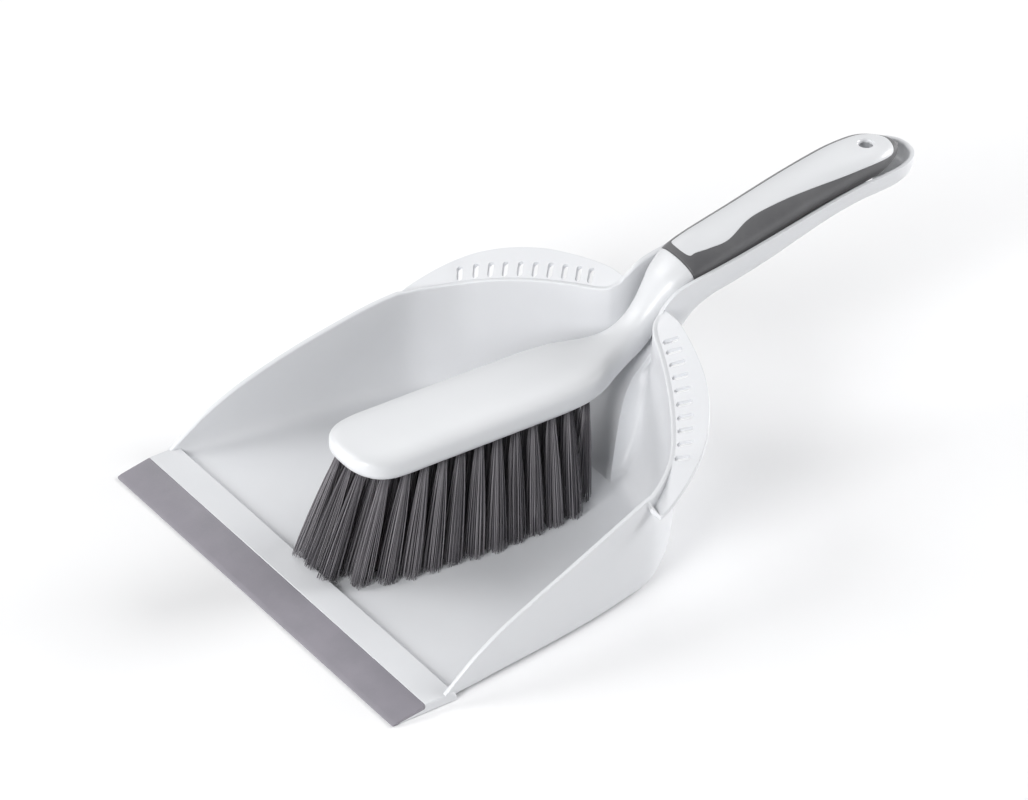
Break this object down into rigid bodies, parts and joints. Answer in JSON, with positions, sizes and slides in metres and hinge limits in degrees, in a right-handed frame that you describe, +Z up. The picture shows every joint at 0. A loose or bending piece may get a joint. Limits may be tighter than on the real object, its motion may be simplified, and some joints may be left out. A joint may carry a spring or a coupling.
{
  "type": "dust pan and brush set",
  "caption": "Open-fronted plastic dust pan with a soft lip, comb slots in its rear rim and a trough-shaped handle, and a hand brush that nests in it.",
  "frame": {"origin": "centre of the whole set's outline on the surface that the pan lies on", "axes": "+X to the right across the pan, +Y from the lip to the handles, +Z up"},
  "size_m": [0.22, 0.355, 0.1145],
  "materials": {
    "pan_plastic": "satin white polypropylene",
    "lip_rubber": "matt mid-grey thermoplastic elastomer",
    "brush_plastic": "satin white polypropylene",
    "grip_rubber": "matt dark grey soft overmould",
    "filament": "dark grey synthetic bristle",
    "staple_steel": "bright flat wire"
  },
  "bodies": {
    "pan": {"pan_body": "pan_plastic", "pan_lip": "lip_rubber"},
    "brush": {"brush_body": "brush_plastic", "brush_grip": "grip_rubber", "tuft_staples": "staple_steel", "tuft_row_01": "filament", "tuft_row_02": "filament", "tuft_row_03": "filament", "tuft_row_04": "filament", "tuft_row_05": "filament", "tuft_row_06": "filament", "tuft_row_07": "filament", "tuft_row_08": "filament", "tuft_row_09": "filament", "tuft_row_10": "filament", "tuft_row_11": "filament", "tuft_row_12": "filament", "tuft_row_13": "filament"}
  },
  "joints": [
    {"name": "brush_lift", "type": "slide", "parent": "pan", "child": "brush", "axis": [0, 0, 1], "range_m": [0, 0.15]}
  ]
}
